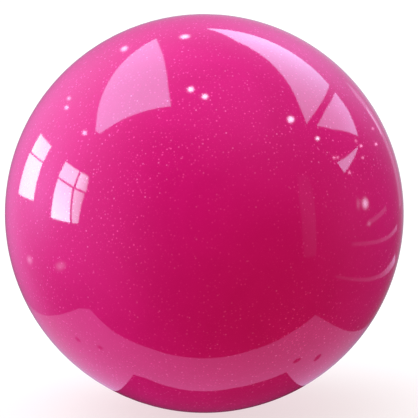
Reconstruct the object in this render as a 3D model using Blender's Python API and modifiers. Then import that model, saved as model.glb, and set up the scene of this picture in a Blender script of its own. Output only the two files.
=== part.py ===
"""Ten-pin bowling ball, drilled for a fingertip grip.

Three-piece construction: a filler core with a disc-shaped weight block set into it, a cast cover
round both, and the pin that held the core in the mould. The drilled side carries a thumb slug and
two finger inserts, glued in and sanded flush with the ball.

Units are metres, +Z is up and the origin is the centre of the ball.
"""

from math import acos, cos, pi, radians, sin, sqrt, tan

import bpy
from mathutils import Vector

# Ball and core
BALL_DIAMETER = 0.2170
COVER_THICKNESS = 0.0254
SEAT_GAP = 0.0003

# Weight block: a disc under the grip, flush with the core. Its diameter is across the flat underside,
# and its sides lean out by the draft from there
WEIGHT_BLOCK_DIAMETER = 0.0920
WEIGHT_BLOCK_DEPTH = 0.0300
WEIGHT_BLOCK_DRAFT = radians(14)
WEIGHT_BLOCK_FILLET = 0.0050

# Mould pin, from its socket in the weight block to the surface of the ball
PIN_DIAMETER = 0.0127
PIN_SOCKET_DEPTH = 0.0100

# Grip: the span runs along the ball between the edges of thumb and finger holes, and the bridge is
# the cover left between the two holes that are drilled for the finger inserts
SPAN = 0.1050
BRIDGE = 0.0080
FINGER_LATERAL_PITCH = 0.0111

# Thumb slug: a rod glued into the ball and bored for the thumb
THUMB_HOLE_DIAMETER = 0.0245
THUMB_HOLE_DEPTH = 0.0600
THUMB_HOLE_POINT = 0.0030
THUMB_SLUG_WALL = 0.0036
THUMB_SLUG_FLOOR = 0.0060
THUMB_LIP = 0.0028

# Finger inserts: sleeves open at both ends, each with a flat lift on the palm side of its bore
FINGER_HOLE_DIAMETER = 0.0200
FINGER_INSERT_WALL = 0.0023
FINGER_INSERT_LENGTH = 0.0445
FINGER_LIFT = 0.0014
FINGER_LIP = 0.0015

# Where the grip points: its angle from straight up, and its heading from +X towards +Y
GRIP_TILT = radians(90)
GRIP_HEADING = radians(135)

# Edges, trimming stock and facets
END_CHAMFER = 0.0012
LIP_LAND = 0.0006
TRIM_STOCK = 0.0050
MERGE_DISTANCE = 0.00001
OUTER_SUBDIVISIONS = 5
INNER_SUBDIVISIONS = 4
TURNED_STEPS = 40
ARC_STEPS = 4
SHARP_ANGLE = radians(30)

# Colours as red, green and blue, and roughness
COVER_PINK = ((0.72, 0.010, 0.170), 0.08)
FILLER_GREY = ((0.42, 0.40, 0.37), 0.70)
BLOCK_BLUE = ((0.05, 0.09, 0.20), 0.60)
PIN_WHITE = ((0.80, 0.76, 0.70), 0.25)
SLUG_BLACK = ((0.015, 0.015, 0.017), 0.35)
INSERT_BLACK = ((0.022, 0.022, 0.026), 0.50)

# Sizes that follow from those above
BALL_RADIUS = BALL_DIAMETER / 2
HOLLOW_RADIUS = BALL_RADIUS - COVER_THICKNESS
CORE_RADIUS = HOLLOW_RADIUS - SEAT_GAP
THUMB_RADIUS = THUMB_HOLE_DIAMETER / 2
THUMB_SLUG_RADIUS = THUMB_RADIUS + THUMB_SLUG_WALL
THUMB_SLUG_LENGTH = THUMB_HOLE_DEPTH + THUMB_SLUG_FLOOR
FINGER_RADIUS = FINGER_HOLE_DIAMETER / 2
FINGER_INSERT_RADIUS = FINGER_RADIUS + FINGER_INSERT_WALL


def clear_scene():
    for obj in list(bpy.data.objects):
        bpy.data.objects.remove(obj, do_unlink=True)


def new_collection(name, hidden=False):
    collection = bpy.data.collections.new(name)
    collection.hide_render = hidden
    bpy.context.scene.collection.children.link(collection)
    return collection


def plastic(name, look):
    colour, roughness = look
    material = bpy.data.materials.new(name)
    material.use_nodes = True
    shader = material.node_tree.nodes["Principled BSDF"]
    shader.inputs["Base Color"].default_value = (*colour, 1)
    shader.inputs["Roughness"].default_value = roughness
    shader.inputs["Metallic"].default_value = 0
    return material


def as_cutter(obj):
    obj.hide_render = True
    obj.display_type = "WIRE"
    return obj


def move_to(obj, collection):
    for old in list(obj.users_collection):
        old.objects.unlink(obj)
    collection.objects.link(obj)


def sphere(name, radius, subdivisions, collection):
    """A ball of even triangles round the origin. Balls with equal subdivisions have parallel facets."""
    bpy.ops.mesh.primitive_ico_sphere_add(subdivisions=subdivisions, radius=radius)
    obj = bpy.context.object
    obj.name = name
    move_to(obj, collection)
    return obj


def turned(name, profile, parent, collection):
    """A solid turned about the parent's Z axis. The profile is (radius, height) pairs that run from the
    axis at the top, down the outer side, to the axis at the bottom."""
    mesh = bpy.data.meshes.new(name)
    points = [(radius, 0, height) for radius, height in profile]
    edges = [(i, i + 1) for i in range(len(points) - 1)]
    mesh.from_pydata(points, edges, [])
    obj = bpy.data.objects.new(name, mesh)
    obj.parent = parent
    collection.objects.link(obj)
    screw = obj.modifiers.new("turn", "SCREW")
    screw.steps = TURNED_STEPS
    screw.render_steps = TURNED_STEPS
    screw.use_merge_vertices = True
    screw.merge_threshold = MERGE_DISTANCE
    return obj


def frame(name, collection, parent=None, point=(0, 0, 0), outward=(0, 0, 1)):
    """An empty at a point. Its Z axis runs outward, and its Y axis leans towards the parent's Z."""
    empty = bpy.data.objects.new(name, None)
    empty.location = point
    empty.rotation_euler = Vector(outward).to_track_quat("Z", "Y").to_euler()
    empty.empty_display_size = PIN_DIAMETER
    empty.parent = parent
    collection.objects.link(empty)
    return empty


def boolean(obj, operation, *tools):
    for tool in tools:
        modifier = obj.modifiers.new(tool.name, "BOOLEAN")
        modifier.operation = operation
        modifier.solver = "EXACT"
        modifier.object = tool


def finish(obj, material):
    """Applies the modifiers and shades the piece smooth, with crisp edges where faces meet at an angle."""
    graph = bpy.context.evaluated_depsgraph_get()
    mesh = bpy.data.meshes.new_from_object(obj.evaluated_get(graph))
    mesh.name = obj.name
    mesh.shade_smooth()
    mesh.set_sharp_from_angle(angle=SHARP_ANGLE)
    mesh.materials.clear()
    mesh.materials.append(material)
    obj.modifiers.clear()
    obj.data = mesh


def arc(centre_radius, centre_height, size, start, end):
    """Points of a round corner in a profile, between two angles counted from the outward direction."""
    angles = [start + (end - start) * i / ARC_STEPS for i in range(ARC_STEPS + 1)]
    return [(centre_radius + size * cos(a), centre_height + size * sin(a)) for a in angles]


def surface_point(along, across):
    """A point of the ball in the grip's frame, at two angles from the middle of the grip: along towards
    the fingers, across towards the ring finger."""
    direction = Vector((sin(across), cos(across) * sin(along), cos(across) * cos(along)))
    return direction * BALL_RADIUS


def grip_mouths():
    """Where the thumb, middle finger and ring finger holes open. The three form a triangle on the ball,
    with one span to each finger hole."""
    half_bridge = (BRIDGE / 2 + FINGER_INSERT_RADIUS + SEAT_GAP) / BALL_RADIUS
    thumb_to_finger = (SPAN + THUMB_RADIUS + FINGER_RADIUS) / BALL_RADIUS
    reach = acos(cos(thumb_to_finger) / cos(half_bridge))
    thumb = surface_point(-reach / 2, 0)
    middle = surface_point(reach / 2, -half_bridge)
    ring = surface_point(reach / 2, half_bridge)
    return thumb, middle, ring


def rod_profile(radius, length, grow=0.0):
    """A rod with a chamfered end, from above the ball down to its length. Grown by a clearance, it is
    the hole drilled for the rod."""
    wide = radius + grow
    low = -length - grow
    return [
        (0, TRIM_STOCK),
        (wide, TRIM_STOCK),
        (wide, low + END_CHAMFER),
        (wide - END_CHAMFER, low),
        (0, low),
    ]


def bore_profile(radius, depth, point=0.0):
    """A bore from above the ball, with the cone at its end that the bit leaves."""
    return [(0, TRIM_STOCK), (radius, TRIM_STOCK), (radius, point - depth), (0, -depth)]


def lip_profile(hole_radius, lip):
    """The rounded mouth of a hole: a quarter circle from the ball's surface down to the bore, turned
    about the normal of the ball, with a short taper that ends inside the bore."""
    edge = hole_radius + lip
    level = sqrt(BALL_RADIUS**2 - edge**2) - BALL_RADIUS
    floor = level - 2 * lip
    rounding = arc(edge, level - lip, lip, pi / 2, pi)
    return [(0, TRIM_STOCK), (edge, TRIM_STOCK), *rounding, (hole_radius - lip / 2, floor), (0, floor)]


def block_profile(grow=0.0):
    """The weight block before its top is trimmed to the core: sides that draw in with depth, a rounded
    lower edge and a flat underside. Grown by a clearance, it is the pocket that the block fills."""
    top = CORE_RADIUS + TRIM_STOCK
    bottom = CORE_RADIUS - WEIGHT_BLOCK_DEPTH
    slope = tan(WEIGHT_BLOCK_DRAFT)
    lean = cos(WEIGHT_BLOCK_DRAFT)
    foot_radius = WEIGHT_BLOCK_DIAMETER / 2
    top_radius = foot_radius + (top - bottom) * slope + grow / lean
    corner_radius = foot_radius + WEIGHT_BLOCK_FILLET * (slope - 1 / lean)
    corner_height = bottom + WEIGHT_BLOCK_FILLET
    rounding = arc(corner_radius, corner_height, WEIGHT_BLOCK_FILLET + grow, -WEIGHT_BLOCK_DRAFT, -pi / 2)
    return [(0, top), (top_radius, top), *rounding, (0, bottom - grow)]


def pin_profile(grow=0.0):
    """The mould pin, from its socket to above the ball. Grown by a clearance, it is the pin's hole."""
    wide = PIN_DIAMETER / 2 + grow
    low = CORE_RADIUS - PIN_SOCKET_DEPTH - grow
    top = BALL_RADIUS + TRIM_STOCK
    return [(0, top), (wide, top), (wide, low + END_CHAMFER), (wide - END_CHAMFER, low), (0, low)]


def lift_block(name, parent, collection):
    """The strip left standing in a finger bore, flat towards the finger, on the side of the palm."""
    bpy.ops.mesh.primitive_cube_add(size=1)
    obj = bpy.context.object
    obj.name = name
    move_to(obj, collection)
    obj.parent = parent
    length = FINGER_INSERT_LENGTH + 4 * TRIM_STOCK
    obj.scale = (FINGER_HOLE_DIAMETER, FINGER_RADIUS, length)
    obj.location = (0, FINGER_RADIUS - FINGER_LIFT + FINGER_RADIUS / 2, -FINGER_INSERT_LENGTH / 2)
    return as_cutter(obj)


def build_thumb_slug(mouth, grip, outline, parts, cutters):
    """The slug, trimmed flush and bored, and the hole that is drilled in the ball for it."""
    axis = frame("thumb_axis", parts, grip, mouth, mouth)
    lip = min(THUMB_LIP, THUMB_SLUG_WALL - LIP_LAND)
    bore = turned("thumb_bore", bore_profile(THUMB_RADIUS, THUMB_HOLE_DEPTH, THUMB_HOLE_POINT),
                  axis, cutters)
    flare = turned("thumb_flare", lip_profile(THUMB_RADIUS, lip), axis, cutters)
    slug = turned("thumb_slug", rod_profile(THUMB_SLUG_RADIUS, THUMB_SLUG_LENGTH), axis, parts)
    boolean(slug, "INTERSECT", outline)
    boolean(slug, "DIFFERENCE", as_cutter(bore), as_cutter(flare))
    drilled = rod_profile(THUMB_SLUG_RADIUS, THUMB_SLUG_LENGTH, SEAT_GAP)
    return slug, as_cutter(turned("thumb_drill", drilled, axis, cutters))


def build_finger_insert(finger, mouth, grip, outline, parts, cutters):
    """One insert, trimmed flush and bored through, and the hole that is drilled in the ball for it. The
    hole aims beside the middle of the ball by the lateral pitch, so that the pair stay apart inside."""
    side = 1 if mouth.x > 0 else -1
    aim = Vector((side * FINGER_LATERAL_PITCH, 0, 0))
    axis = frame(f"{finger}_axis", parts, grip, mouth, mouth - aim)
    normal = frame(f"{finger}_normal", parts, grip, mouth, mouth)
    lip = min(FINGER_LIP, FINGER_INSERT_WALL - LIP_LAND)
    bore_length = FINGER_INSERT_LENGTH + TRIM_STOCK
    bore = turned(f"{finger}_bore", bore_profile(FINGER_RADIUS, bore_length), axis, cutters)
    boolean(bore, "DIFFERENCE", lift_block(f"{finger}_lift", axis, cutters))
    flare = turned(f"{finger}_flare", lip_profile(FINGER_RADIUS, lip), normal, cutters)
    rod = rod_profile(FINGER_INSERT_RADIUS, FINGER_INSERT_LENGTH)
    insert = turned(f"{finger}_insert", rod, axis, parts)
    boolean(insert, "INTERSECT", outline)
    boolean(insert, "DIFFERENCE", as_cutter(bore), as_cutter(flare))
    drilled = rod_profile(FINGER_INSERT_RADIUS, FINGER_INSERT_LENGTH, SEAT_GAP)
    return insert, as_cutter(turned(f"{finger}_drill", drilled, axis, cutters))


def main():
    clear_scene()
    parts = new_collection("bowling_ball")
    cutters = new_collection("cutters", hidden=True)
    grip = frame("grip", parts)
    grip.rotation_euler = (0, GRIP_TILT, GRIP_HEADING)
    outline = as_cutter(sphere("ball_outline", BALL_RADIUS, OUTER_SUBDIVISIONS, cutters))
    hollow = as_cutter(sphere("cover_hollow", HOLLOW_RADIUS, INNER_SUBDIVISIONS, cutters))
    core_outline = as_cutter(sphere("core_outline", CORE_RADIUS, INNER_SUBDIVISIONS, cutters))
    pocket = as_cutter(turned("block_pocket", block_profile(SEAT_GAP), grip, cutters))
    pin_hole = as_cutter(turned("pin_hole", pin_profile(SEAT_GAP), grip, cutters))

    thumb, middle, ring = grip_mouths()
    thumb_slug, thumb_drill = build_thumb_slug(thumb, grip, outline, parts, cutters)
    middle_insert, middle_drill = build_finger_insert("middle_finger", middle, grip, outline, parts, cutters)
    ring_insert, ring_drill = build_finger_insert("ring_finger", ring, grip, outline, parts, cutters)
    drills = (thumb_drill, middle_drill, ring_drill)

    coverstock = sphere("coverstock", BALL_RADIUS, OUTER_SUBDIVISIONS, parts)
    boolean(coverstock, "DIFFERENCE", hollow, pin_hole, *drills)

    core_filler = sphere("core_filler", CORE_RADIUS, INNER_SUBDIVISIONS, parts)
    boolean(core_filler, "DIFFERENCE", pocket, *drills)

    weight_block = turned("weight_block", block_profile(), grip, parts)
    boolean(weight_block, "INTERSECT", core_outline)
    boolean(weight_block, "DIFFERENCE", pin_hole, *drills)

    locator_pin = turned("locator_pin", pin_profile(), grip, parts)
    boolean(locator_pin, "INTERSECT", outline)

    insert_black = plastic("insert_black", INSERT_BLACK)
    finish(coverstock, plastic("cover_pink", COVER_PINK))
    finish(core_filler, plastic("filler_grey", FILLER_GREY))
    finish(weight_block, plastic("block_blue", BLOCK_BLUE))
    finish(locator_pin, plastic("pin_white", PIN_WHITE))
    finish(thumb_slug, plastic("slug_black", SLUG_BLACK))
    finish(middle_insert, insert_black)
    finish(ring_insert, insert_black)


main()
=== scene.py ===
"""Looks of a pink glitter ten-pin bowling ball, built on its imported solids.

The cover, thumb slug, finger inserts and mould pin are new surfaces in place of their solids. The filler
and the weight block keep their solids, which show only at the bottom of the finger holes.
Units are metres, +Z is up and the origin is the centre of the ball.
"""

from collections import namedtuple
from math import acos, cos, pi, radians, sin, sqrt

import bmesh
import bpy
import numpy as np
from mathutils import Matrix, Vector


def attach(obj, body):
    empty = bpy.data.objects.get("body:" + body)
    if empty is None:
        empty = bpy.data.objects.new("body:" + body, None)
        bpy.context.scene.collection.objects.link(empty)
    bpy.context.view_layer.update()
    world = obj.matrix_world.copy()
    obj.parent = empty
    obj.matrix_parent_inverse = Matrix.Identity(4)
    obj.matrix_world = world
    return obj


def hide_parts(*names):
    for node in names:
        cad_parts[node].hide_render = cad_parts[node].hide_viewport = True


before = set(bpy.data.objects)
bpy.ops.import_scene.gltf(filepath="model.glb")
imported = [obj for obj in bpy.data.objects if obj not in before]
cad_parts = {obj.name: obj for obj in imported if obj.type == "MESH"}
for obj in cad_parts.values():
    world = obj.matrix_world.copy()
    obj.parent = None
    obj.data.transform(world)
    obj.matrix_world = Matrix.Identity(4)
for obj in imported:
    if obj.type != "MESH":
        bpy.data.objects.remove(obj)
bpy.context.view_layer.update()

# Ball, as in the part's source
BALL_RADIUS = 0.1085
HOLLOW_RADIUS = 0.0831
CORE_RADIUS = 0.0828
SEAT_GAP = 0.0003

# Grip, as in the part's source
SPAN = 0.1050
BRIDGE = 0.0080
FINGER_PITCH = 0.0111
THUMB_RADIUS = 0.01225
SLUG_RADIUS = 0.01585
SLUG_LENGTH = 0.0660
THUMB_DEPTH = 0.0600
THUMB_POINT = 0.0030
THUMB_LIP = 0.0028
FINGER_RADIUS = 0.0100
INSERT_RADIUS = 0.0123
INSERT_LENGTH = 0.0445
FINGER_LIFT = 0.0014
FINGER_LIP = 0.0015
PIN_RADIUS = 0.00635
PIN_SOCKET = 0.0100
END_CHAMFER = 0.0012

# Grip directions: across towards the ring finger, along towards the fingers, and out through the pin
ACROSS = np.array((0.0, 0.0, -1.0))
ALONG = np.array((-sqrt(0.5), -sqrt(0.5), 0.0))
OUT = np.array((-sqrt(0.5), sqrt(0.5), 0.0))

# Fitted edges: the glue line round each plug, and the edge that sanding leaves on both sides of it
GLUE_LINE = 0.00008
SANDED_EDGE = 0.00022
PIN_LINE = 0.00003
PIN_EDGE = SANDED_EDGE / 4

# Facets of the cover. Rows of the outer field crowd towards the hole by a power
MERIDIAN_STEPS = 100
SECTOR_STEPS = 96
PIN_ARC_STEPS = 12
FIELD_STEPS = 24
FIELD_CROWDING = 1.5
INNER_STEPS = 5
BACK_STEPS = 72
INNER_BACK_STEPS = 18
WALL_STEPS = 5
PIN_WALL_STEPS = 3
LIP_STEPS = 6

# Facets of the slug, inserts and pin. The sides' own rows end a little below the sanded edge
TURN_STEPS = 128
PLUG_LIP_STEPS = 10
END_SHARES = (0, 0.5, 1)
SLUG_SIDE_ROWS = 8
SLUG_SIDE_SHARE = 0.9
SLUG_TOP_STEPS = 3
SLUG_BORE_STEPS = 27
SLUG_CONE_STEPS = 5
INSERT_SIDE_STEPS = 9
INSERT_TOP_STEPS = 4
INSERT_BORE_STEPS = 21
LIFT_POWER = 40
PIN_SIDE_ROWS = 6
PIN_SIDE_STOP = 0.002
PIN_TOP_STEPS = 8

# Points closer than this become one
WELD = 0.000002

# A hole's axis, the axis's nearest point to the middle of the ball, the directions to the palm and to the
# side, and the height of its mouth along the axis
Hole = namedtuple("Hole", "axis foot palm flank height")
PIN_HOLE = Hole(OUT, np.zeros(3), ACROSS, ALONG, BALL_RADIUS)


def unit(vector):
    return vector / np.linalg.norm(vector, axis=-1, keepdims=True)


def dot(a, b):
    return (a * b).sum(-1)


def polar(tilt, turn, ball=BALL_RADIUS):
    """A point of a ball, tilted from the pin's axis and turned from across towards along."""
    tilt, turn = np.broadcast_arrays(tilt, turn)
    flat = np.cos(turn)[..., None] * ACROSS + np.sin(turn)[..., None] * ALONG
    return ball * (np.cos(tilt)[..., None] * OUT + np.sin(tilt)[..., None] * flat)


def mouth(along, across):
    """A point of the ball at two angles from the pin: along towards the fingers, and across."""
    return BALL_RADIUS * (sin(across) * ACROSS + cos(across) * (sin(along) * ALONG + cos(along) * OUT))


def drilled(opening, axis):
    """The hole that opens at a point and runs along an axis."""
    axis = unit(axis)
    foot = opening - dot(opening, axis) * axis
    palm = unit(OUT - dot(OUT, axis) * axis)
    return Hole(axis, foot, palm, np.cross(axis, palm), float(dot(opening, axis)))


def holes():
    """The thumb hole aims at the middle of the ball. Each finger hole aims beside it by its pitch. The
    angle between thumb and fingers is that of a right spherical triangle: its cosine is the cosine of the
    whole distance over the cosine of half the distance between the fingers."""
    half = (BRIDGE / 2 + INSERT_RADIUS + SEAT_GAP) / BALL_RADIUS
    whole = (SPAN + THUMB_RADIUS + FINGER_RADIUS) / BALL_RADIUS
    reach = acos(cos(whole) / cos(half))
    thumb = mouth(-reach / 2, 0)
    middle = mouth(reach / 2, -half)
    ring = mouth(reach / 2, half)
    aside = FINGER_PITCH * ACROSS
    return drilled(thumb, thumb), drilled(middle, middle + aside), drilled(ring, ring - aside)


def on_ball(hole, bearing, distance, ball=BALL_RADIUS):
    """The point of a ball at a bearing and a distance from a hole's axis: the foot, plus distance times
    (cosine of bearing to the palm, sine of bearing to the side), raised along the axis by the root of
    the ball's radius squared less that point's own length squared."""
    bearing, distance = np.broadcast_arrays(bearing, distance)
    way = np.cos(bearing)[..., None] * hole.palm + np.sin(bearing)[..., None] * hole.flank
    ring = hole.foot + distance[..., None] * way
    return ring + np.sqrt(ball**2 - dot(ring, ring))[..., None] * hole.axis


def at_height(hole, bearing, distance, height):
    """The point at a bearing and distance from a hole's axis, and at a height along it."""
    bearing, distance, height = np.broadcast_arrays(bearing, distance, height)
    way = np.cos(bearing)[..., None] * hole.palm + np.sin(bearing)[..., None] * hole.flank
    return hole.foot + distance[..., None] * way + height[..., None] * hole.axis


def rounded_mouth(hole, bearing, distance, rounding, steps=LIP_STEPS):
    """Rows of a quarter circle at a hole's edge, from the wall up to the ball. At angle a the distance
    grows by rounding times (1 - sin a) and the surface drops by rounding times (1 - cos a), with a from
    a right angle to nothing. A negative rounding turns the edge of a plug instead."""
    angle = np.linspace(pi / 2, 0, steps + 1)[:, None]
    reach = distance + rounding * (1 - np.sin(angle))
    drop = abs(rounding) * (1 - np.cos(angle))
    return on_ball(hole, bearing, reach) - np.broadcast_to(drop, reach.shape)[..., None] * hole.axis


def great_circles(start, end, blend):
    """Rows between two rings of points of one ball. Each point goes along its great circle: the sum of
    both ends, weighted with the sines of the angles that are left and gone, over the sine of the whole."""
    size = np.linalg.norm(start, axis=-1)[None, :, None]
    a, b = unit(start), unit(end)
    angle = np.arccos(np.clip(dot(a, b), -1, 1))[None, :, None]
    gone = np.asarray(blend)[:, None, None]
    rows = (np.sin((1 - gone) * angle) * a + np.sin(gone * angle) * b) / np.sin(angle)
    return size * rows


def sector_border(start, end, steps, tilt_in, ball):
    """The closed edge of a part of the drilled half: out along one meridian from the pin, round the rim
    of the half, back along the other meridian, and round the pin."""
    tilts = np.linspace(0, 1, MERIDIAN_STEPS + 1)
    tilts = tilt_in + (pi / 2 - tilt_in) * tilts
    rim = np.linspace(start, end, steps + 1)
    arc = np.linspace(end, start, PIN_ARC_STEPS * steps // SECTOR_STEPS + 1)
    return np.concatenate((
        polar(tilts[:-1], start, ball),
        polar(pi / 2, rim[:-1], ball),
        polar(tilts[:0:-1], end, ball),
        polar(tilt_in, arc[:-1], ball),
    ))


def hole_sector(hole, start, end, steps, plug_radius, pin_tilt, pin_tilt_inside):
    """One part of the drilled half with its hole, as one grid round the hole: from the edge of the part
    on the inner ball to the hole, up the wall, over the edge and out to the edge on the outer ball.
    Each border point is joined to the point of the hole at the bearing where the drill sees it."""
    outer = sector_border(start, end, steps, pin_tilt, BALL_RADIUS)
    inner = sector_border(start, end, steps, pin_tilt_inside, HOLLOW_RADIUS)
    offset = outer - hole.foot
    bearing = np.arctan2(dot(offset, hole.flank), dot(offset, hole.palm))
    distance = np.full(bearing.shape, plug_radius + GLUE_LINE)
    lip = rounded_mouth(hole, bearing, distance, SANDED_EDGE)
    foot = on_ball(hole, bearing, distance, HOLLOW_RADIUS)
    wall = np.linspace(0, 1, WALL_STEPS + 1)[:, None, None]
    walls = foot + wall * (lip[0] - foot)
    inside = great_circles(foot, inner, np.linspace(1, 0, INNER_STEPS + 1))
    inside[0] = inner
    field = great_circles(lip[-1], outer, np.linspace(0, 1, FIELD_STEPS + 1) ** FIELD_CROWDING)
    field[-1] = outer
    return np.concatenate((inside[:-1], walls[:-1], lip[:-1], field))


def back_half(ball, turns, rows):
    """The half of a ball away from the grip, as a grid of meridians from its rim to its far point."""
    return polar(np.linspace(pi / 2, pi, rows + 1)[:, None], turns[None, :], ball)


def pin_wall(bearing):
    """The wall of the pin's hole, from the inner ball to the rounded edge on the outer ball."""
    distance = np.full(bearing.shape, PIN_RADIUS + PIN_LINE)
    lip = rounded_mouth(PIN_HOLE, bearing, distance, PIN_EDGE)
    foot = on_ball(PIN_HOLE, bearing, distance, HOLLOW_RADIUS)
    wall = np.linspace(0, 1, PIN_WALL_STEPS + 1)[:, None, None]
    return np.concatenate((foot + wall[:-1] * (lip[0] - foot), lip))


def grid(rows):
    """Corner points and faces of a grid of rows, whose last column joins the first."""
    high, wide = rows.shape[:2]
    number = np.arange(high * wide).reshape(high, wide)
    number = np.concatenate((number, number[:, :1]), axis=1)
    corners = (number[:-1, :-1], number[1:, :-1], number[1:, 1:], number[:-1, 1:])
    return rows.reshape(-1, 3), np.stack(corners, -1).reshape(-1, 4)


def surface(name, *sheets):
    """A mesh object of several grids, with their shared edges and poles joined."""
    points, faces, count = [], [], 0
    for corner_points, corner_faces in sheets:
        points.append(corner_points)
        faces.append(corner_faces + count)
        count += len(corner_points)
    mesh = bpy.data.meshes.new(name)
    mesh.from_pydata(np.concatenate(points).tolist(), [], np.concatenate(faces).tolist())
    work = bmesh.new()
    work.from_mesh(mesh)
    bmesh.ops.remove_doubles(work, verts=work.verts, dist=WELD)
    work.to_mesh(mesh)
    work.free()
    mesh.shade_smooth()
    obj = bpy.data.objects.new(name, mesh)
    bpy.context.scene.collection.objects.link(obj)
    return obj


def true_normals(obj):
    """Corners on the outer ball shade as the ball itself: their normals run straight out from its
    middle."""
    mesh = obj.data
    points = np.empty(len(mesh.vertices) * 3)
    normals = np.empty(len(mesh.vertices) * 3)
    mesh.vertices.foreach_get("co", points)
    mesh.vertex_normals.foreach_get("vector", normals)
    points, normals = points.reshape(-1, 3), normals.reshape(-1, 3)
    outer = np.abs(np.linalg.norm(points, axis=1) - BALL_RADIUS) < WELD
    normals[outer] = unit(points[outer])
    mesh.normals_split_custom_set_from_vertices(normals.tolist())


def make_cover(thumb, middle, ring):
    """The cover: three parts of the drilled half, each round its own hole, the plain half, and the pin's
    hole, outside and inside."""
    tilt = np.arcsin((PIN_RADIUS + PIN_LINE + PIN_EDGE) / BALL_RADIUS)
    tilt_inside = np.arcsin((PIN_RADIUS + PIN_LINE) / HOLLOW_RADIUS)
    quarter, half, whole = pi / 2, pi, 2 * pi
    parts = (
        (ring, 0, quarter, SECTOR_STEPS, INSERT_RADIUS),
        (middle, quarter, half, SECTOR_STEPS, INSERT_RADIUS),
        (thumb, half, whole, 2 * SECTOR_STEPS, SLUG_RADIUS),
    )
    drilled_half = [grid(hole_sector(*part, tilt, tilt_inside)) for part in parts]
    turns = np.linspace(0, whole, 4 * SECTOR_STEPS, endpoint=False)
    pin_turns = np.linspace(0, whole, 4 * PIN_ARC_STEPS, endpoint=False)
    cover = surface(
        "cover",
        *drilled_half,
        grid(back_half(BALL_RADIUS, turns, BACK_STEPS)),
        grid(back_half(HOLLOW_RADIUS, turns, INNER_BACK_STEPS)[::-1]),
        grid(pin_wall(pin_turns)),
    )
    true_normals(cover)
    return cover


def make_slug(thumb):
    """The thumb slug, turned about its axis: up the outside, over the sanded edge and the top of the
    ball, round the lip, down the bore and along the cone that the bit leaves."""
    bearing = np.linspace(0, 2 * pi, TURN_STEPS, endpoint=False)[None, :]
    low = thumb.height - SLUG_LENGTH
    floor = thumb.height - THUMB_DEPTH
    full = np.ones_like(bearing)
    edge = rounded_mouth(thumb, bearing, SLUG_RADIUS * full, -SANDED_EDGE)
    lip = rounded_mouth(thumb, bearing, THUMB_RADIUS * full, THUMB_LIP, PLUG_LIP_STEPS)[::-1]
    top = np.linspace(SLUG_RADIUS - SANDED_EDGE, THUMB_RADIUS + THUMB_LIP, SLUG_TOP_STEPS + 1)
    bore_top = dot(lip[-1] - thumb.foot, thumb.axis).mean()
    bore = np.linspace(bore_top, floor + THUMB_POINT, SLUG_BORE_STEPS + 1)[1:, None]
    cone = np.linspace(1, 0, SLUG_CONE_STEPS + 1)[1:, None]
    end = np.array(END_SHARES)[:, None] * (SLUG_RADIUS - END_CHAMFER)
    side = np.linspace(low + END_CHAMFER, low + SLUG_LENGTH * SLUG_SIDE_SHARE, SLUG_SIDE_ROWS)
    rows = np.concatenate((
        at_height(thumb, bearing, end, low),
        at_height(thumb, bearing, SLUG_RADIUS, side[:, None]),
        edge,
        on_ball(thumb, bearing, top[1:-1, None]),
        lip,
        at_height(thumb, bearing, THUMB_RADIUS, bore),
        at_height(thumb, bearing, THUMB_RADIUS * cone, floor + THUMB_POINT * cone),
    ))
    return surface("thumb_slug_turned", grid(rows[::-1]))


def bore_shape(bearing):
    """The distance of an insert's bore from its axis: a circle cut by the flat of the lift on the palm's
    side, blended as the power mean of both with a high power, which rounds the two corners."""
    flat = np.clip(np.cos(bearing), 0, None) / (FINGER_RADIUS - FINGER_LIFT)
    return ((1 / FINGER_RADIUS) ** LIFT_POWER + flat**LIFT_POWER) ** (-1 / LIFT_POWER)


def make_insert(name, hole):
    """A finger insert, as rows round its hole: up the outside, over the sanded edge and the top of the
    ball, round the lip, down the bore with its lift, and back under the lower end."""
    bearing = np.linspace(0, 2 * pi, TURN_STEPS, endpoint=False)[None, :]
    low = hole.height - INSERT_LENGTH
    full = np.ones_like(bearing)
    bore = bore_shape(bearing)
    edge = rounded_mouth(hole, bearing, INSERT_RADIUS * full, -SANDED_EDGE)
    lip = rounded_mouth(hole, bearing, bore, FINGER_LIP, PLUG_LIP_STEPS)[::-1]
    across = np.linspace(0, 1, INSERT_TOP_STEPS + 1)[1:-1, None]
    top = (INSERT_RADIUS - SANDED_EDGE) * (1 - across) + (bore + FINGER_LIP) * across
    wall_top = lip[-1][None]
    wall_low = at_height(hole, bearing, bore, low)
    down = np.linspace(0, 1, INSERT_BORE_STEPS + 1)[1:, None, None]
    side_low = at_height(hole, bearing, INSERT_RADIUS, low + END_CHAMFER)
    up = np.linspace(0, 1, INSERT_SIDE_STEPS + 1)[:-1, None, None]
    rows = np.concatenate((
        at_height(hole, bearing, (INSERT_RADIUS - END_CHAMFER) * full, low),
        side_low + up * (edge[:1] - side_low),
        edge,
        on_ball(hole, bearing, top),
        lip,
        wall_top + down * (wall_low - wall_top),
    ))
    rows = np.concatenate((rows, rows[:1]))
    return surface(name, grid(rows[::-1]))


def make_pin():
    """The mould pin, turned about its axis: the lower end, the side, and the top that is sanded to the
    ball, in rings up to the pole."""
    bearing = np.linspace(0, 2 * pi, 4 * PIN_ARC_STEPS, endpoint=False)[None, :]
    low = CORE_RADIUS - PIN_SOCKET
    full = np.ones_like(bearing)
    edge = rounded_mouth(PIN_HOLE, bearing, PIN_RADIUS * full, -PIN_EDGE)
    rings = np.linspace(1, 0, PIN_TOP_STEPS + 1)[1:, None] * (PIN_RADIUS - PIN_EDGE)
    end = np.array(END_SHARES)[:, None] * (PIN_RADIUS - END_CHAMFER)
    side = np.linspace(low + END_CHAMFER, BALL_RADIUS - PIN_SIDE_STOP, PIN_SIDE_ROWS)
    rows = np.concatenate((
        at_height(PIN_HOLE, bearing, end, low),
        at_height(PIN_HOLE, bearing, PIN_RADIUS, side[:, None]),
        edge,
        on_ball(PIN_HOLE, bearing, rings),
    ))
    return surface("mould_pin", grid(rows[::-1]))


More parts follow.
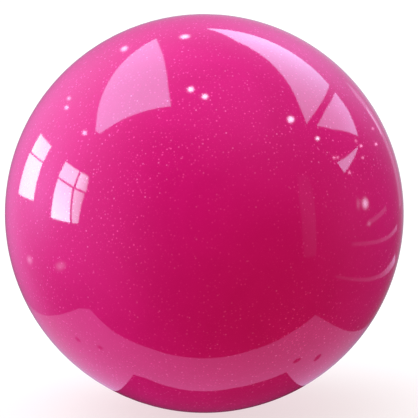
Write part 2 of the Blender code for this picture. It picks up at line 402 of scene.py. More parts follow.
# Colours of the pieces as red, green and blue
BODY_DEEP = (0.66, 0.0020, 0.178)
BODY_BRIGHT = (0.71, 0.0034, 0.202)
DUST_PINK = (0.92, 0.030, 0.32)
FLAKE_PINK = (1.0, 0.070, 0.42)
FLAKE_PALE = (1.0, 0.16, 0.54)
FILLER_GREY = (0.42, 0.40, 0.37)
FILLER_GRAIN = (0.62, 0.60, 0.56)
BLOCK_BLUE = (0.05, 0.09, 0.20)
BLOCK_GRAIN = (0.20, 0.26, 0.38)
PIN_WHITE = (0.80, 0.76, 0.70)
SLUG_BLACK = (0.015, 0.015, 0.017)
INSERT_BLACK = (0.022, 0.022, 0.026)

# What the clouds in a colour multiply it by
FILLER_SHADE = 0.75
PIN_SHADE = 0.88
BLACK_SHADE = 1.8

# Cloudy patterns, in the terms of the noise texture, and the values between which their changes run
Noise = namedtuple("Noise", "scale detail roughness distortion", defaults=(3.0, 0.5, 0.0))
BODY_CLOUD = Noise(22, 4, 0.55, 0.6)
FILLER_CLOUD = Noise(120, 4)
FILLER_GLOSS = Noise(300)
FILLER_RELIEF = Noise(900)
BLACK_CLOUD = Noise(60, 4, 0.6)
BLACK_GLOSS = Noise(220, 4, 0.6)
PIN_CLOUD = Noise(260, 4, 0.6)
NARROW_SPAN = (0.35, 0.65)
BLACK_SPAN = (0.35, 0.7)
WIDE_SPAN = (0.3, 0.7)

# Grains of the fillers: cells per metre, the random numbers between which they come up, and how strongly
# the grains and the clouds show at most
GRAIN_SCALE = 700
GRAIN_SPAN = (0.6, 0.9)
GRAIN_SHARE = 0.7
CLOUD_SHARE = 0.35

# Roughness of the pieces and of their clear skins, and how much an uneven gloss adds
COVER_ROUGHNESS = 0.45
COVER_SKIN = 0.055
SKIN_INDEX = 1.5
PIN_ROUGHNESS = 0.3
PIN_SKIN = 0.02
FILLER_ROUGHNESS = 0.6
BLOCK_ROUGHNESS = 0.5
FILLER_UNEVEN = 0.15
BLACK_UNEVEN = 0.16

# Relief of the fillers, as strength and height, and the height of the relief of the black pieces
FILLER_BUMPS = (0.3, 0.0002)
BLACK_BUMP_HEIGHT = 0.0001

# Black finishes: roughness, scale of the grain and strength of its relief
SLUG_FINISH = (0.28, 900, 0.12)
INSERT_FINISH = (0.42, 1400, 0.25)

# Glitter: the colour, cells per metre, the radius of a flake as a share of a cell, and how strongly the
# faintest and the brightest flakes show. A flake is full up to a share of its radius, and cells with the
# lowest random numbers have the faintest
FLAKES = (
    (DUST_PINK, 900, 0.30, 0.05, 0.75),
    (FLAKE_PINK, 480, 0.28, 0.05, 1.0),
    (FLAKE_PALE, 270, 0.15, 0.10, 1.0),
)
FLAKE_CORE = 0.5
FAINT_BELOW = 0.2

# Painted glints: glitter painted fainter in spots where flakes catch less light, and stronger where they
# catch
# more. For each spot: the azimuth and height of its middle on the ball, the distance within which the change
# is full, the distance at which it ends, and the share of glitter there
PAINTED_DULL_GLITTER_SPOTS = (
    (7, 3, 0.034, 0.056, 0.31),
    (38, -5, 0.028, 0.050, 0.40),
    (-6, -14, 0.024, 0.042, 0.40),
    (11, -15, 0.024, 0.042, 0.40),
    (-27, -18, 0.020, 0.040, 0.47),
    (23, 56, 0.015, 0.035, 0.62),
)
PAINTED_GLINT_SPOTS = (
    (29.5, -23, 0.010, 0.030, 2.4),
)

# Places of the colour sockets in a mix node, whose other sockets have the same names
MIX_COLOURS = (6, 7)
MIX_RESULT = 2


def new_material(name):
    """A new material with its node tree, its shader and Object coordinates."""
    material = bpy.data.materials.new(name)
    material.use_nodes = True
    tree = material.node_tree
    shader = tree.nodes["Principled BSDF"]
    place = tree.nodes.new("ShaderNodeTexCoord").outputs["Object"]
    return material, tree, shader, place


def noise(tree, place, pattern):
    texture = tree.nodes.new("ShaderNodeTexNoise")
    tree.links.new(place, texture.inputs["Vector"])
    texture.inputs["Scale"].default_value = pattern.scale
    texture.inputs["Detail"].default_value = pattern.detail
    texture.inputs["Roughness"].default_value = pattern.roughness
    texture.inputs["Distortion"].default_value = pattern.distortion
    return texture.outputs["Fac"]


def cells(tree, place, scale):
    texture = tree.nodes.new("ShaderNodeTexVoronoi")
    tree.links.new(place, texture.inputs["Vector"])
    texture.inputs["Scale"].default_value = scale
    return texture.outputs["Distance"], texture.outputs["Color"]


def spread(tree, value, low, high, to_low=0.0, to_high=1.0):
    """A value carried from one range to another, and held at its ends."""
    node = tree.nodes.new("ShaderNodeMapRange")
    tree.links.new(value, node.inputs["Value"])
    node.inputs["From Min"].default_value = low
    node.inputs["From Max"].default_value = high
    node.inputs["To Min"].default_value = to_low
    node.inputs["To Max"].default_value = to_high
    return node.outputs["Result"]


def maths(tree, operation, a, b):
    node = tree.nodes.new("ShaderNodeMath")
    node.operation = operation
    for socket, value in zip(node.inputs, (a, b)):
        if isinstance(value, bpy.types.NodeSocket):
            tree.links.new(value, socket)
        else:
            socket.default_value = value
    return node.outputs["Value"]


def blended(tree, share, a, b):
    """Two colours mixed by a share. Each is a colour or another node's output."""
    node = tree.nodes.new("ShaderNodeMix")
    node.data_type = "RGBA"
    tree.links.new(share, node.inputs["Factor"])
    for socket, colour in zip(MIX_COLOURS, (a, b)):
        if isinstance(colour, bpy.types.NodeSocket):
            tree.links.new(colour, node.inputs[socket])
        else:
            node.inputs[socket].default_value = (*colour, 1)
    return node.outputs[MIX_RESULT]


def shaded(colour, shade):
    return tuple(shade * part for part in colour)


def red_of(tree, colour):
    node = tree.nodes.new("ShaderNodeSeparateColor")
    tree.links.new(colour, node.inputs["Color"])
    return node.outputs["Red"]


def bumped(tree, shader, height, strength, distance):
    node = tree.nodes.new("ShaderNodeBump")
    node.inputs["Strength"].default_value = strength
    node.inputs["Distance"].default_value = distance
    tree.links.new(height, node.inputs["Height"])
    tree.links.new(node.outputs["Normal"], shader.inputs["Normal"])


def flakes(tree, place, scale, size):
    """Round glitter flakes in the middle of the cells of a cell pattern, and each cell's random number."""
    distance, colour = cells(tree, place, scale)
    disc = spread(tree, distance, size, size * FLAKE_CORE)
    return disc, red_of(tree, colour)


def spot_shares(tree, place, spots, operation):
    """The shares of several spots, each running to one at the spot's outer reach, taken together."""
    total = 1.0
    for azimuth, height, inner, outer, share in spots:
        away = tree.nodes.new("ShaderNodeVectorMath")
        away.operation = "DISTANCE"
        tree.links.new(place, away.inputs[0])
        away.inputs[1].default_value = [BALL_RADIUS * part for part in direction(azimuth, height)]
        part = spread(tree, away.outputs["Value"], inner, outer, share, 1.0)
        total = maths(tree, operation, total, part)
    return total


def cover_material():
    """Pearly pink resin with glitter under a clear polished skin. The glitter carries painted glints in
    spots.
    """
    material, tree, shader, place = new_material("glitter_pink")
    cloud = spread(tree, noise(tree, place, BODY_CLOUD), *NARROW_SPAN)
    body = blended(tree, cloud, BODY_DEEP, BODY_BRIGHT)
    # Painted glints: the glitter is made fainter or stronger in spots, standing in for flakes that catch
    # light
    painted_glint = spot_shares(tree, place, PAINTED_GLINT_SPOTS, "MULTIPLY")
    glint_share = maths(tree, "MULTIPLY", painted_glint, spot_shares(tree, place, PAINTED_DULL_GLITTER_SPOTS, "MINIMUM"))
    for colour, scale, size, faint, bright in FLAKES:
        disc, luck = flakes(tree, place, scale, size)
        share = maths(tree, "MULTIPLY", disc, spread(tree, luck, FAINT_BELOW, 1.0, faint, bright))
        body = blended(tree, maths(tree, "MULTIPLY", share, glint_share), body, colour)
    tree.links.new(body, shader.inputs["Base Color"])
    shader.inputs["Roughness"].default_value = COVER_ROUGHNESS
    shader.inputs["Specular IOR Level"].default_value = 0.0
    shader.inputs["Coat Weight"].default_value = 1.0
    shader.inputs["Coat Roughness"].default_value = COVER_SKIN
    shader.inputs["Coat IOR"].default_value = SKIN_INDEX
    return material


def speckled_material(name, ground, grain, roughness):
    """Cast filler: a ground with darker clouds and fine lighter grains, slightly rough."""
    material, tree, shader, place = new_material(name)
    _, colour = cells(tree, place, GRAIN_SCALE)
    share = spread(tree, red_of(tree, colour), *GRAIN_SPAN, 0.0, GRAIN_SHARE)
    cloud = spread(tree, noise(tree, place, FILLER_CLOUD), *WIDE_SPAN, 0.0, CLOUD_SHARE)
    body = blended(tree, cloud, ground, shaded(ground, FILLER_SHADE))
    body = blended(tree, share, body, grain)
    tree.links.new(body, shader.inputs["Base Color"])
    gloss = spread(tree, noise(tree, place, FILLER_GLOSS), *WIDE_SPAN, roughness, roughness + FILLER_UNEVEN)
    tree.links.new(gloss, shader.inputs["Roughness"])
    bumped(tree, shader, noise(tree, place, FILLER_RELIEF), *FILLER_BUMPS)
    return material


def black_material(name, colour, roughness, grain, bump):
    """Black plastic or rubber: a faint cloud in its colour, uneven gloss and a fine grain."""
    material, tree, shader, place = new_material(name)
    cloud = spread(tree, noise(tree, place, BLACK_CLOUD), *BLACK_SPAN)
    body = blended(tree, cloud, colour, shaded(colour, BLACK_SHADE))
    tree.links.new(body, shader.inputs["Base Color"])
    gloss = spread(tree, noise(tree, place, BLACK_GLOSS), *WIDE_SPAN, roughness, roughness + BLACK_UNEVEN)
    tree.links.new(gloss, shader.inputs["Roughness"])
    bumped(tree, shader, noise(tree, place, Noise(grain)), bump, BLACK_BUMP_HEIGHT)
    return material


def pin_material():
    """Pale cast resin with a faint mottle."""
    material, tree, shader, place = new_material("pin_pale")
    cloud = spread(tree, noise(tree, place, PIN_CLOUD), *NARROW_SPAN)
    body = blended(tree, cloud, PIN_WHITE, shaded(PIN_WHITE, PIN_SHADE))
    tree.links.new(body, shader.inputs["Base Color"])
    shader.inputs["Roughness"].default_value = PIN_ROUGHNESS
    shader.inputs["Coat Weight"].default_value = 1.0
    shader.inputs["Coat Roughness"].default_value = PIN_SKIN
    return material


def dress(obj, material, node):
    """A new piece: its material and its body, and the solid that it stands for is hidden."""
    obj.data.materials.append(material)
    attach(obj, "root")
    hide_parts(node)


def recoat(node, material):
    """A solid that stays keeps its mesh and gets a new material."""
    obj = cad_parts[node]
    obj.data.materials.clear()
    obj.data.materials.append(material)


def make_ball():
    thumb, middle, ring = holes()
    insert_black = black_material("insert_black", INSERT_BLACK, *INSERT_FINISH)
    slug_black = black_material("slug_black", SLUG_BLACK, *SLUG_FINISH)
    dress(make_cover(thumb, middle, ring), cover_material(), "coverstock")
    dress(make_slug(thumb), slug_black, "thumb_slug")
    dress(make_insert("middle_insert", middle), insert_black, "middle_finger_insert")
    dress(make_insert("ring_insert", ring), insert_black, "ring_finger_insert")
    dress(make_pin(), pin_material(), "locator_pin")
    recoat("core_filler", speckled_material("filler_grey", FILLER_GREY, FILLER_GRAIN, FILLER_ROUGHNESS))
    recoat("weight_block", speckled_material("block_blue", BLOCK_BLUE, BLOCK_GRAIN, BLOCK_ROUGHNESS))


# Side of the photograph, and the middle and radius of the ball's outline in it, in pixels
IMAGE_SIDE = 418
BALL_CENTRE = (204.3, 213.4)
BALL_PIXELS = 199.5

# Camera: its distance in metres, its height above the horizon in degrees, and its sensor in millimetres
CAMERA_DISTANCE = 1.3
CAMERA_HEIGHT = 10
SENSOR = 36.0

# Soft light: a colour, the azimuth and height that it comes from, and how narrow it is
AMBIENT = (0.45, 0.22, 0.0)
SOFT_LIGHT = (
    ((2.2, 2.9, 3.6), 270, 70, 3),
    ((1.3, 1.8, 2.4), 265, -30, 3),
    ((1.1, 1.8, 2.5), 125, -5, 3),
)

# Studio that the gloss shows, in the same terms: light from the left above and level, from the back above
# and level, from the left below, from round the windows, and from the right above and level
STUDIO_BASE = (0.12, 0.06, 0.07)
STUDIO_LIGHT = (
    ((0.9, 1.1, 1.7), 240, 35, 4),
    ((0.8, 0.4, 0.9), 285, 5, 4),
    ((0.8, 0.8, 1.4), 150, 35, 12),
    ((0.4, 0.4, 0.5), 170, 0, 20),
    ((0.5, 0.3, 0.6), 225, -10, 10),
    ((0.5, 0.6, 1.2), 255, 5, 30),
    ((0.3, 0.3, 0.6), 60, 70, 4),
    ((0.2, 0.1, 0.2), 90, 5, 10),
)


def direction(azimuth, height):
    """Azimuth 0 is the camera's side, and height is above the horizon, in degrees."""
    a, h = radians(azimuth), radians(height)
    return (sin(a) * cos(h), -cos(a) * cos(h), sin(h))


def lobes(tree, place, base, lights):
    """The sum of a base colour and, for each light, its colour times the cosine of the angle to it, held
    at nothing behind it and raised to a power that narrows it."""
    total = None
    for colour, azimuth, height, power in lights:
        turn = tree.nodes.new("ShaderNodeVectorMath")
        turn.operation = "DOT_PRODUCT"
        tree.links.new(place, turn.inputs[0])
        turn.inputs[1].default_value = direction(azimuth, height)
        facing = maths(tree, "MAXIMUM", turn.outputs["Value"], 0.0)
        scale = tree.nodes.new("ShaderNodeVectorMath")
        scale.operation = "SCALE"
        scale.inputs[0].default_value = colour
        tree.links.new(maths(tree, "POWER", facing, power), scale.inputs["Scale"])
        add = tree.nodes.new("ShaderNodeVectorMath")
        add.operation = "ADD"
        tree.links.new(scale.outputs["Vector"], add.inputs[0])
        if total is None:
            add.inputs[1].default_value = base
        else:
            tree.links.new(total, add.inputs[1])
        total = add.outputs["Vector"]
    return total


def light_world():
    """Soft light for the ball. Cameras and clear or glossy surfaces see plain white."""
    world = bpy.data.worlds.new("soft_light")
    bpy.context.scene.world = world
    world.use_nodes = True
    tree = world.node_tree
    tree.nodes.clear()
    place = tree.nodes.new("ShaderNodeTexCoord").outputs["Generated"]
    soft = tree.nodes.new("ShaderNodeBackground")
    tree.links.new(lobes(tree, place, AMBIENT, SOFT_LIGHT), soft.inputs["Color"])
    white = tree.nodes.new("ShaderNodeBackground")
    white.inputs["Color"].default_value = (1, 1, 1, 1)
    path = tree.nodes.new("ShaderNodeLightPath")
    seen = maths(tree, "MAXIMUM", path.outputs["Is Camera Ray"], path.outputs["Is Glossy Ray"])
    seen = maths(tree, "MAXIMUM", seen, path.outputs["Is Transmission Ray"])
    either = tree.nodes.new("ShaderNodeMixShader")
    tree.links.new(seen, either.inputs["Fac"])
    tree.links.new(soft.outputs["Background"], either.inputs[1])
    tree.links.new(white.outputs["Background"], either.inputs[2])
    output = tree.nodes.new("ShaderNodeOutputWorld")
    tree.links.new(either.outputs["Shader"], output.inputs["Surface"])


def glow(name, colour=(1, 1, 1)):
    """A light-giving finish for the studio. Its colour is the same all over, or is linked later."""
    material = bpy.data.materials.new(name)
    material.use_nodes = True
    material.cycles.emission_sampling = "NONE"
    tree = material.node_tree
    tree.nodes.clear()
    emission = tree.nodes.new("ShaderNodeEmission")
    emission.inputs["Color"].default_value = (*colour, 1)
    output = tree.nodes.new("ShaderNodeOutputMaterial")
    tree.links.new(emission.outputs["Emission"], output.inputs["Surface"])
    return material, tree, emission


def levelled_glow(name, colour, see_through=True):
    """A glow as strong as the level that each point of its mesh carries. What is behind it is added, if
    it is see-through."""
    material, tree, emission = glow(name, colour)
    level = tree.nodes.new("ShaderNodeAttribute")
    level.attribute_name = "level"
    tree.links.new(level.outputs["Fac"], emission.inputs["Strength"])
    if not see_through:
        return material
    clear = tree.nodes.new("ShaderNodeBsdfTransparent")
    both = tree.nodes.new("ShaderNodeAddShader")
    tree.links.new(emission.outputs["Emission"], both.inputs[0])
    tree.links.new(clear.outputs["BSDF"], both.inputs[1])
    tree.links.new(both.outputs["Shader"], tree.nodes["Material Output"].inputs["Surface"])
    return material


def reflected_only(obj):
    """A studio object that shows only in the ball's gloss."""
    obj.visible_camera = False
    obj.visible_diffuse = False
    obj.visible_transmission = False
    obj.visible_volume_scatter = False
    obj.visible_shadow = False


def sheet_glow(name, front_tint, back_tint, across, along):
    """A glow for a level sheet: its strength runs from left to right, times a share from front to back,
    and its tint runs from the front to under the ball."""
    material, tree, emission = glow(name)
    split = tree.nodes.new("ShaderNodeSeparateXYZ")
    tree.links.new(tree.nodes.new("ShaderNodeTexCoord").outputs["Object"], split.inputs["Vector"])
    strength = spread(tree, split.outputs["X"], *across)
    share = spread(tree, split.outputs["Y"], *along)
    under = spread(tree, split.outputs["Y"], *TINT_RUN)
    tree.links.new(blended(tree, under, front_tint, back_tint), emission.inputs["Color"])
    tree.links.new(maths(tree, "MULTIPLY", strength, share), emission.inputs["Strength"])
    return material


def studio_mesh(name, points, faces, material, levels=None):
    """A studio object. Its points may carry how strongly they glow."""
    mesh = bpy.data.meshes.new(name)
    mesh.from_pydata(points, [], faces)
    if levels is not None:
        mesh.attributes.new("level", "FLOAT", "POINT").data.foreach_set("value", levels)
    mesh.materials.append(material)
    obj = bpy.data.objects.new(name, mesh)
    bpy.context.scene.collection.objects.link(obj)
    reflected_only(obj)


def flat_shapes(name, shapes, material):
    """Several flat shapes as one studio object. A corner is its place and its level."""
    corners = [corner for shape in shapes for corner in shape]
    ends = np.cumsum([len(shape) for shape in shapes])
    faces = [list(range(end - len(shape), end)) for end, shape in zip(ends, shapes)]
    studio_mesh(name, [c[:3] for c in corners], faces, material, [c[3] for c in corners])


# Room that the gloss shows: the height of its ceiling, the places of its side walls, and the round shell
# far behind them
CEILING = 2.0
LEFT_WALL = -2.0
RIGHT_WALL = 2.0
ROOM_RADIUS = 12.0
ROOM_TURNS = 48
ROOM_TILTS = 24


def on_ceiling(*corners):
    return [(x, y, CEILING, level) for x, y, level in corners]


def on_left(*corners):
    return [(LEFT_WALL, y, z, level) for y, z, level in corners]


def on_right(*corners):
    return [(RIGHT_WALL, y, z, level) for y, z, level in corners]


# Glowing shapes: a name, a tint and the shapes of panels in the ceiling, windows in the left wall, and
# posts, a pillar and rails at the right. A corner is its place and how strongly the shape glows there
GLOWING = (
    ("left_panel", (0.45, 1.0, 1.46), (
        on_ceiling(
            (-0.64, 2.05, 2.2), (-0.55, 0.80, 3.4), (-0.54, 0.22, 4.2), (-0.58, -0.60, 4.7),
            (-1.58, -0.44, 4.7), (-2.50, -0.33, 4.5), (-2.57, -0.12, 4.5),
        ),
    )),
    ("right_panel", (0.58, 1.0, 1.42), (
        on_ceiling(
            (0.02, 2.36, 2.8), (0.42, 1.50, 4.1), (1.82, 0.18, 3.5), (2.22, -0.10, 3.2),
            (2.34, 2.50, 2.6), (1.00, 2.44, 3.7),
        ),
    )),
    ("far_panels", (0.75, 1.0, 1.50), (
        on_ceiling(
            (2.60, 2.52, 2.8), (2.51, 1.00, 3.0), (2.565, 0.16, 3.1), (3.20, 0.74, 2.8),
            (4.90, 2.88, 3.2), (3.40, 2.79, 2.8),
        ),
        on_ceiling((5.52, 2.65, 3.0), (5.36, 0.90, 3.6), (5.15, 0.04, 3.9), (7.05, 0.36, 4.2)),
    )),
    ("far_window", (0.85, 1.0, 1.0), (
        on_left((1.725, 0.69, 5.4), (0.825, 0.75, 7.6), (0.845, 0.505, 8.4), (1.745, 0.425, 6.4)),
        on_left((1.815, 0.39, 4.8), (0.86, 0.48, 9.4), (0.82, 0.01, 9.0), (1.855, -0.11, 3.8)),
    )),
    ("near_window", (0.52, 1.0, 1.15), (
        on_left((0.14, 0.735, 9.4), (-0.335, 0.745, 9.7), (-0.32, 0.475, 11), (0.165, 0.485, 10)),
        on_left((-0.385, 0.745, 12), (-0.64, 0.755, 6.5), (-0.685, 0.485, 5.7), (-0.375, 0.475, 12.5)),
        on_left((0.16, 0.455, 10), (-0.305, 0.445, 11), (-0.38, -0.075, 15), (0.15, -0.08, 14.5)),
        on_left((-0.36, 0.445, 9.5), (-0.655, 0.445, 5), (-0.595, -0.055, 7), (-0.435, -0.075, 9)),
    )),
    ("posts", (1.1, 1.0, 1.4), (
        (
            (2.06, 3.43, -0.56, 0.15), (1.69, 3.63, -0.56, 0.15),
            (1.69, 3.63, 1.00, 0.40), (2.06, 3.43, 1.00, 0.40),
        ),
        (
            (2.03, 3.44, 0.27, 0.6), (1.88, 3.53, 0.27, 0.6),
            (1.88, 3.53, 0.66, 0.8), (2.03, 3.44, 0.66, 0.8),
        ),
    )),
    ("pillar", (1.2, 1.0, 1.8), (
        on_right(
            (-1.24, 1.06, 0.06), (-0.92, 0.91, 0.10), (-0.99, -0.13, 0.22), (-0.93, -0.61, 0.15),
            (-1.28, -0.68, 0.10), (-1.40, -0.10, 0.15), (-1.40, 0.53, 0.18),
        ),
    )),
    ("rails", (1.2, 1.0, 1.6), (
        on_right((0.45, -0.24, 0.35), (0.52, -0.17, 0.35), (1.38, -0.15, 0.25), (1.42, -0.21, 0.25)),
        on_right((0.01, -0.40, 0.22), (1.58, -0.52, 0.28), (1.70, -0.58, 0.28), (0.02, -0.45, 0.22)),
        on_right((1.58, -0.52, 0.28), (2.73, -0.59, 0.45), (2.81, -0.66, 0.45), (1.70, -0.58, 0.28)),
        on_right((-0.23, -0.91, 0.18), (1.54, -0.99, 0.22), (1.68, -1.06, 0.22), (-0.20, -0.96, 0.18)),
        on_right((1.54, -0.99, 0.22), (3.34, -1.02, 0.60), (4.31, -1.28, 0.50), (1.68, -1.06, 0.22)),
    )),
)

# Small lamps and their tint: the place, how far the glow reaches in the gloss across and along as a share
# of the ball's outline, and how bright its middle is
LAMPS = (
    ((-0.25, 1.68, CEILING), 0.038, 0.019, 9.0),
    ((-1.16, 2.40, CEILING), 0.030, 0.022, 5.3),
    ((-0.21, -0.26, CEILING), 0.024, 0.021, 27),
    ((0.01, -0.45, CEILING), 0.023, 0.020, 27),
    ((1.76, -0.34, CEILING), 0.025, 0.025, 24),
    ((2.93, -0.18, CEILING), 0.0155, 0.0155, 20),
    ((-3.07, 2.25, CEILING), 0.016, 0.016, 8.0),
    ((-2.85, 2.60, CEILING), 0.0165, 0.0165, 5.0),
    ((-2.99, 0.23, CEILING), 0.0175, 0.0185, 15),
    ((RIGHT_WALL, 0.43, 0.05), 0.042, 0.027, 6.2),
    ((RIGHT_WALL, 0.21, 0.09), 0.045, 0.016, 1.2),
    ((RIGHT_WALL, 0.52, -0.22), 0.018, 0.018, 1.2),
    ((LEFT_WALL, 1.25, -0.76), 0.034, 0.024, 1.4),
    ((LEFT_WALL, 0.04, -0.75), 0.034, 0.044, 1.7),
)
LAMP_TINT = (1.0, 1.0, 1.35)
LAMP_RINGS = 7
LAMP_STEPS = 20

# Sparks at the right, of one reach and one tint: the place on the wall, and how bright the middle is
SPARK_REACH = 0.012
SPARK_TINT = (2.0, 1.0, 1.7)
SPARKS = tuple(((RIGHT_WALL, y, z), SPARK_REACH, SPARK_REACH, peak) for y, z, peak in (
    (0.99, 0.70, 5.0),
    (-0.04, 0.88, 5.6),
    (0.19, 0.54, 5.2),
    (1.92, 0.48, 3.0),
    (0.82, 0.57, 3.0),
    (0.91, 0.81, 2.4),
    (2.45, 0.59, 1.4),
    (0.06, 0.84, 3.6),
))

# Board under the ball, a glowing sheet that stands for a lit board: painted light, brighter towards the
# windows, and painted shade of the ball, fading from the front towards under the ball. On it a darker
# glowing patch, painted
# shade under the ball. For each: outline corners, tints at the front and at the back with the stretch
# between them, level from left to right, and share of it from front to back. Oval marks on the board: the
# middle, half the length and width, the turn in degrees, and the level
BOARD_OUTLINE = (
    (-0.1575, 0.60), (-0.1575, -0.072), (-0.147, -0.0905), (-0.092, -0.093), (-0.050, -0.099),
    (0.042, -0.100), (0.091, -0.0955), (0.1345, -0.088), (0.131, -0.010), (0.129, 0.60),
)
BOARD_FRONT_TINT = (2.1, 1.0, 2.3)
BOARD_BACK_TINT = (1.3, 1.0, 1.5)
TINT_RUN = (-0.10, 0.02)
BOARD_ACROSS = (-0.1575, 0.1345, 0.67, 0.42)
BOARD_ALONG = (-0.08, 0.20, 1.2, 0.30)
# Painted shade under the ball: a darker glowing patch on the board
SHADE_PATCH_OUTLINE = (
    (-0.056, 0.10), (-0.0515, -0.057), (-0.042, -0.0605), (0.020, -0.0605), (0.0385, -0.0575),
    (0.060, -0.051), (0.060, 0.10),
)
SHADE_PATCH_FRONT_TINT = (1.4, 1.0, 1.9)
SHADE_PATCH_BACK_TINT = (1.2, 1.0, 1.6)
SHADE_PATCH_ACROSS = (-0.05, 0.06, 0.060, 0.055)
SHADE_PATCH_ALONG = (-0.06, 0.04, 1.0, 0.25)
BOARD_MARKS = (
    ((0.0735, -0.055), 0.0044, 0.0025, 20, 0.10),
    ((0.0885, -0.031), 0.0050, 0.0034, 15, 0.10),
    ((-0.113, -0.0315), 0.0048, 0.0032, -30, 0.30),
    ((-0.091, -0.0575), 0.0039, 0.0025, -35, 0.30),
)
MARK_STEPS = 12
MARK_TINT = (1.7, 1.0, 1.8)
BOARD_DROP = 0.0004
PATCH_DROP = 0.0003


def make_lamps(name, lamps, tint):
    """Round glows that face the ball. Each is a disc of rings, and its glow falls from the middle to the
    rim as the cube of one less the squared share of the radius. A ball shrinks what it mirrors, by twice
    the cosine of its own tilt across and by twice that cosine's inverse along, so each disc is larger by
    those."""
    share = np.linspace(0, 1, LAMP_RINGS)[:, None, None, None]
    turn = np.linspace(0, 2 * pi, LAMP_STEPS, endpoint=False)[:, None, None]
    place = np.array([spot for spot, _, _, _ in lamps])
    across, along, peak = np.array([row[1:] for row in lamps]).T
    facing = unit(place)
    camera = np.array(direction(0, CAMERA_HEIGHT))
    tilt = np.sqrt((1 + facing @ camera) / 2)
    side = unit(np.cross(facing, camera))
    rise = np.cross(side, facing)
    away = 2 * np.linalg.norm(place, axis=1)
    wide = (away * across * tilt)[:, None] * side
    high = (away * along / tilt)[:, None] * rise
    discs = np.moveaxis(place + share * (np.cos(turn) * wide + np.sin(turn) * high), 2, 0)
    radii = np.broadcast_to(share[None, :, 0, :, 0], discs.shape[:3])
    levels = (peak[:, None, None] * (1 - radii**2) ** 3).reshape(-1)
    first = LAMP_RINGS * LAMP_STEPS * np.arange(len(lamps))[:, None, None]
    points = discs.reshape(-1, 3).tolist()
    faces = (grid(discs[0])[1] + first).reshape(-1, 4).tolist()
    studio_mesh(name, points, faces, levelled_glow(name + "_glow", tint), levels)


def make_marks():
    """Small dull marks on the board: ovals, each the sum of its long and its short radius, weighted with
    the cosine and the sine of the angle round it."""
    angle = np.linspace(0, 2 * pi, MARK_STEPS, endpoint=False)[:, None]
    shapes = []
    for middle, long, short, turn, level in BOARD_MARKS:
        way = np.array((cos(radians(turn)), sin(radians(turn))))
        side = np.array((-way[1], way[0]))
        oval = middle + long * np.cos(angle) * way + short * np.sin(angle) * side
        shapes.append([(x, y, -BALL_RADIUS - PATCH_DROP, level) for x, y in oval.tolist()])
    flat_shapes("board_marks", shapes, levelled_glow("mark_glow", MARK_TINT, see_through=False))


def make_sheet(name, outline, drop, *look):
    """A level sheet under the ball."""
    points = [(x, y, -BALL_RADIUS - drop) for x, y in outline]
    studio_mesh(name, points, [list(range(len(points)))], sheet_glow(name + "_glow", *look))


def make_room():
    """The dim shell of the room. It is a ball: a point is the sine of its tilt times the cosine and the sine
    of its turn, and the cosine of its tilt, times the radius. Its glow depends on the direction alone."""
    turns = np.linspace(0, 2 * pi, ROOM_TURNS, endpoint=False)
    tilts = np.linspace(0, pi, ROOM_TILTS + 1)
    tilts, turns = np.meshgrid(tilts, turns, indexing="ij")
    room = np.stack((np.sin(tilts) * np.cos(turns), np.sin(tilts) * np.sin(turns), np.cos(tilts)), -1)
    shell = surface("studio_room", grid(ROOM_RADIUS * room))
    material, tree, emission = glow("room_glow")
    toward = tree.nodes.new("ShaderNodeVectorMath")
    toward.operation = "NORMALIZE"
    tree.links.new(tree.nodes.new("ShaderNodeTexCoord").outputs["Object"], toward.inputs[0])
    colour = lobes(tree, toward.outputs["Vector"], STUDIO_BASE, STUDIO_LIGHT)
    tree.links.new(colour, emission.inputs["Color"])
    shell.data.materials.append(material)
    reflected_only(shell)


def make_studio():
    """The studio round the ball: a dim room, glowing shapes, lamps and sparks, and a glowing board with
    marks that carries painted light and shade, with a darker patch of painted shade under the ball."""
    make_room()
    for name, tint, shapes in GLOWING:
        flat_shapes(name, shapes, levelled_glow(name + "_glow", tint))
    make_lamps("lamps", LAMPS, LAMP_TINT)
    make_lamps("sparks", SPARKS, SPARK_TINT)
    # The board glows with painted light from the windows and painted shade of the ball
    board_tints = (BOARD_FRONT_TINT, BOARD_BACK_TINT)
    make_sheet("board", BOARD_OUTLINE, BOARD_DROP, *board_tints, BOARD_ACROSS, BOARD_ALONG)
    make_marks()
    # Painted shade: a darker glowing patch under the ball
    make_sheet("painted_shade_patch", SHADE_PATCH_OUTLINE, PATCH_DROP, SHADE_PATCH_FRONT_TINT, SHADE_PATCH_BACK_TINT, SHADE_PATCH_ACROSS, SHADE_PATCH_ALONG)


# Floor: its side, how far it lies under the ball, its colour and its own light
FLOOR_SIDE = 6.0
FLOOR_DROP = 0.0002
FLOOR_MATT = (0.36, 0.333, 0.322)
FLOOR_GLOW = 0.64


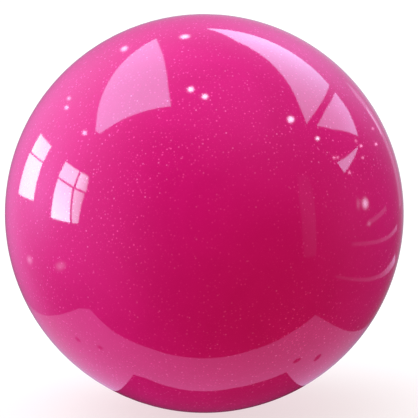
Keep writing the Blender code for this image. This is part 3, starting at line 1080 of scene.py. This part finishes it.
def make_floor():
    """A plain white floor that shows the ball's shadow. Seen from below it is clear."""
    low = -BALL_RADIUS - FLOOR_DROP
    half = FLOOR_SIDE / 2
    corners = [(-half, -half, low), (half, -half, low), (half, half, low), (-half, half, low)]
    mesh = bpy.data.meshes.new("floor")
    mesh.from_pydata(corners, [], [(0, 1, 2, 3)])
    material = bpy.data.materials.new("floor_white")
    material.use_nodes = True
    tree = material.node_tree
    tree.nodes.clear()
    matt = tree.nodes.new("ShaderNodeBsdfDiffuse")
    matt.inputs["Color"].default_value = (*FLOOR_MATT, 1)
    light = tree.nodes.new("ShaderNodeEmission")
    light.inputs["Strength"].default_value = FLOOR_GLOW
    both = tree.nodes.new("ShaderNodeAddShader")
    tree.links.new(matt.outputs["BSDF"], both.inputs[0])
    tree.links.new(light.outputs["Emission"], both.inputs[1])
    clear = tree.nodes.new("ShaderNodeBsdfTransparent")
    side = tree.nodes.new("ShaderNodeNewGeometry").outputs["Backfacing"]
    either = tree.nodes.new("ShaderNodeMixShader")
    tree.links.new(side, either.inputs["Fac"])
    tree.links.new(both.outputs["Shader"], either.inputs[1])
    tree.links.new(clear.outputs["BSDF"], either.inputs[2])
    output = tree.nodes.new("ShaderNodeOutputMaterial")
    tree.links.new(either.outputs["Shader"], output.inputs["Surface"])
    mesh.materials.append(material)
    floor = bpy.data.objects.new("floor", mesh)
    bpy.context.scene.collection.objects.link(floor)
    floor.visible_diffuse = False
    floor.visible_glossy = False
    floor.visible_shadow = False


def make_camera():
    """The lens shows the ball's outline as large as in the photograph, and the shift puts it in the same
    place."""
    data = bpy.data.cameras.new("camera")
    focal_pixels = BALL_PIXELS * sqrt(CAMERA_DISTANCE**2 - BALL_RADIUS**2) / BALL_RADIUS
    data.sensor_width = SENSOR
    data.lens = focal_pixels * SENSOR / IMAGE_SIDE
    data.shift_x = (IMAGE_SIDE / 2 - BALL_CENTRE[0]) / IMAGE_SIDE
    data.shift_y = (BALL_CENTRE[1] - IMAGE_SIDE / 2) / IMAGE_SIDE
    camera = bpy.data.objects.new("camera", data)
    camera.location = [CAMERA_DISTANCE * part for part in direction(0, CAMERA_HEIGHT)]
    camera.rotation_euler = (-Vector(camera.location)).to_track_quat("-Z", "Y").to_euler()
    bpy.context.scene.collection.objects.link(camera)
    bpy.context.scene.camera = camera


make_ball()
light_world()
make_studio()
make_floor()
make_camera()
bpy.context.scene.view_settings.view_transform = "Standard"
